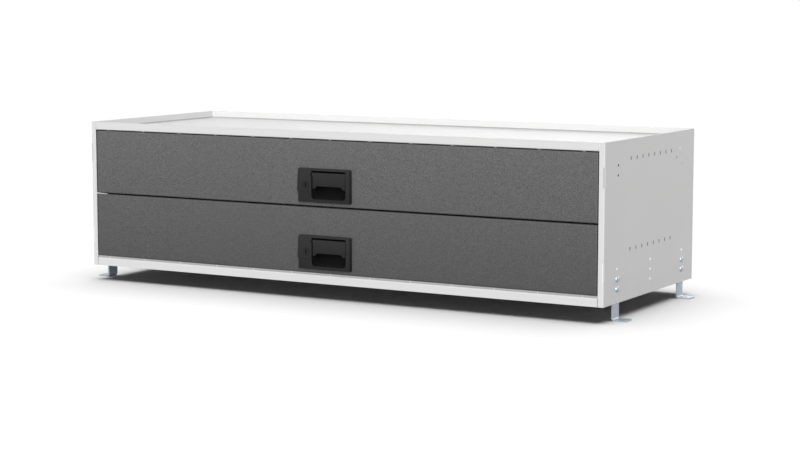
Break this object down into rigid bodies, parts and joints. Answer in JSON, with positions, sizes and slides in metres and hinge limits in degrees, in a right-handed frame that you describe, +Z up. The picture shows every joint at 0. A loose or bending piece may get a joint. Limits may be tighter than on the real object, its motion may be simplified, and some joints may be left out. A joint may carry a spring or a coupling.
{
  "type": "van drawer system",
  "caption": "Low wide steel cabinet for a van with full-width drawers on ball runners, paddle latches with key locks, a recessed top and bolt-down feet.",
  "frame": {"origin": "on the floor, under the middle of the object's box", "axes": "+Z up, the drawer fronts face -Y and the drawers open towards -Y, +X is the right side as seen from the front's left, that is to the right when looking along +Y"},
  "size_m": [1.304, 0.4772, 0.356],
  "materials": {
    "white_coat": "light grey white powder coat, fine texture",
    "grey_coat": "mid grey powder coat, fine pebble texture",
    "drawer_coat": "light grey powder coat",
    "zinc_strap": "bright zinc plate, brushed",
    "zinc_fasteners": "blue zinc plate",
    "runner_steel": "zinc plated strip",
    "cage_steel": "oiled steel strip",
    "latch_moulding": "charcoal moulded plastic, fine grain",
    "paddle_moulding": "charcoal moulded plastic, satin",
    "latch_steel": "zinc plated steel",
    "lock_black": "black nickel plate"
  },
  "bodies": {
    "cabinet": {"left_side_panel": "white_coat", "right_side_panel": "white_coat", "top_tray": "white_coat", "base_tray": "white_coat", "back_panel": "white_coat", "back_rivets": "zinc_fasteners", "cross_rail": "white_coat", "strikes": "zinc_fasteners", "front_right_foot": "zinc_strap", "front_left_foot": "zinc_strap", "rear_right_foot": "zinc_strap", "rear_left_foot": "zinc_strap", "foot_bolts": "zinc_fasteners", "runner_packers": "runner_steel", "upper_right_outer_runner": "runner_steel", "upper_left_outer_runner": "runner_steel", "lower_right_outer_runner": "runner_steel", "lower_left_outer_runner": "runner_steel"},
    "upper_runner_middles": {"upper_right_middle_runner": "runner_steel", "upper_left_middle_runner": "runner_steel"},
    "upper_outer_cages": {"upper_outer_ball_cages": "cage_steel"},
    "upper_inner_cages": {"upper_inner_ball_cages": "cage_steel"},
    "upper_drawer": {"upper_drawer_front": "grey_coat", "upper_drawer_tray": "drawer_coat", "upper_drawer_inner_front": "drawer_coat", "upper_drawer_back": "drawer_coat", "upper_drawer_screws": "zinc_fasteners", "upper_latch_housing": "latch_moulding", "upper_latch_screws": "zinc_fasteners", "upper_paddle_pin": "latch_steel", "upper_latch_spring": "latch_steel", "upper_lock_cylinder": "lock_black", "upper_lock_nut": "latch_steel", "upper_right_inner_runner": "runner_steel", "upper_left_inner_runner": "runner_steel"},
    "upper_paddle": {"upper_paddle": "paddle_moulding"},
    "upper_latch_bar": {"upper_latch_bar": "latch_steel"},
    "upper_lock": {"upper_lock_plug": "lock_black", "upper_lock_cam": "latch_steel"},
    "lower_runner_middles": {"lower_right_middle_runner": "runner_steel", "lower_left_middle_runner": "runner_steel"},
    "lower_outer_cages": {"lower_outer_ball_cages": "cage_steel"},
    "lower_inner_cages": {"lower_inner_ball_cages": "cage_steel"},
    "lower_drawer": {"lower_drawer_front": "grey_coat", "lower_drawer_tray": "drawer_coat", "lower_drawer_inner_front": "drawer_coat", "lower_drawer_back": "drawer_coat", "lower_drawer_screws": "zinc_fasteners", "lower_latch_housing": "latch_moulding", "lower_latch_screws": "zinc_fasteners", "lower_paddle_pin": "latch_steel", "lower_latch_spring": "latch_steel", "lower_lock_cylinder": "lock_black", "lower_lock_nut": "latch_steel", "lower_right_inner_runner": "runner_steel", "lower_left_inner_runner": "runner_steel"},
    "lower_paddle": {"lower_paddle": "paddle_moulding"},
    "lower_latch_bar": {"lower_latch_bar": "latch_steel"},
    "lower_lock": {"lower_lock_plug": "lock_black", "lower_lock_cam": "latch_steel"}
  },
  "joints": [
    {"name": "upper_drawer_slide", "type": "slide", "parent": "cabinet", "child": "upper_drawer", "axis": [0, -1, 0], "range_m": [0, 0.4]},
    {"name": "upper_middle_slide", "type": "slide", "parent": "cabinet", "child": "upper_runner_middles", "axis": [0, -1, 0], "range_m": [0, 0.2]},
    {"name": "upper_outer_cage_slide", "type": "slide", "parent": "cabinet", "child": "upper_outer_cages", "axis": [0, -1, 0], "range_m": [0, 0.1]},
    {"name": "upper_inner_cage_slide", "type": "slide", "parent": "cabinet", "child": "upper_inner_cages", "axis": [0, -1, 0], "range_m": [0, 0.3]},
    {"name": "upper_paddle_lift", "type": "hinge", "parent": "upper_drawer", "child": "upper_paddle", "pos_m": [0.00125, -0.23, 0.2647], "axis": [-1, 0, 0], "range_deg": [0, 30]},
    {"name": "upper_bar_slide", "type": "slide", "parent": "upper_drawer", "child": "upper_latch_bar", "axis": [0, 0, -1], "range_m": [0, 0.015], "stiffness_N_per_m": 160, "springref_m": -0.015, "deforming": ["upper_latch_spring"]},
    {"name": "upper_lock_turn", "type": "hinge", "parent": "upper_drawer", "child": "upper_lock", "pos_m": [-0.054, -0.2305, 0.2433], "axis": [0, -1, 0], "range_deg": [0, 90]},
    {"name": "lower_drawer_slide", "type": "slide", "parent": "cabinet", "child": "lower_drawer", "axis": [0, -1, 0], "range_m": [0, 0.4]},
    {"name": "lower_middle_slide", "type": "slide", "parent": "cabinet", "child": "lower_runner_middles", "axis": [0, -1, 0], "range_m": [0, 0.2]},
    {"name": "lower_outer_cage_slide", "type": "slide", "parent": "cabinet", "child": "lower_outer_cages", "axis": [0, -1, 0], "range_m": [0, 0.1]},
    {"name": "lower_inner_cage_slide", "type": "slide", "parent": "cabinet", "child": "lower_inner_cages", "axis": [0, -1, 0], "range_m": [0, 0.3]},
    {"name": "lower_paddle_lift", "type": "hinge", "parent": "lower_drawer", "child": "lower_paddle", "pos_m": [0.00125, -0.23, 0.123], "axis": [-1, 0, 0], "range_deg": [0, 30]},
    {"name": "lower_bar_slide", "type": "slide", "parent": "lower_drawer", "child": "lower_latch_bar", "axis": [0, 0, -1], "range_m": [0, 0.015], "stiffness_N_per_m": 160, "springref_m": -0.015, "deforming": ["lower_latch_spring"]},
    {"name": "lower_lock_turn", "type": "hinge", "parent": "lower_drawer", "child": "lower_lock", "pos_m": [-0.054, -0.2305, 0.1016], "axis": [0, -1, 0], "range_deg": [0, 90]}
  ],
  "couplings": [
    {"joint": "upper_middle_slide", "follows": "upper_drawer_slide", "ratio": 0.5},
    {"joint": "upper_outer_cage_slide", "follows": "upper_drawer_slide", "ratio": 0.25},
    {"joint": "upper_inner_cage_slide", "follows": "upper_drawer_slide", "ratio": 0.75},
    {"joint": "upper_paddle_lift", "follows": "upper_bar_slide", "rad_per_m": 34.9},
    {"joint": "lower_middle_slide", "follows": "lower_drawer_slide", "ratio": 0.5},
    {"joint": "lower_outer_cage_slide", "follows": "lower_drawer_slide", "ratio": 0.25},
    {"joint": "lower_inner_cage_slide", "follows": "lower_drawer_slide", "ratio": 0.75},
    {"joint": "lower_paddle_lift", "follows": "lower_bar_slide", "rad_per_m": 34.9}
  ]
}
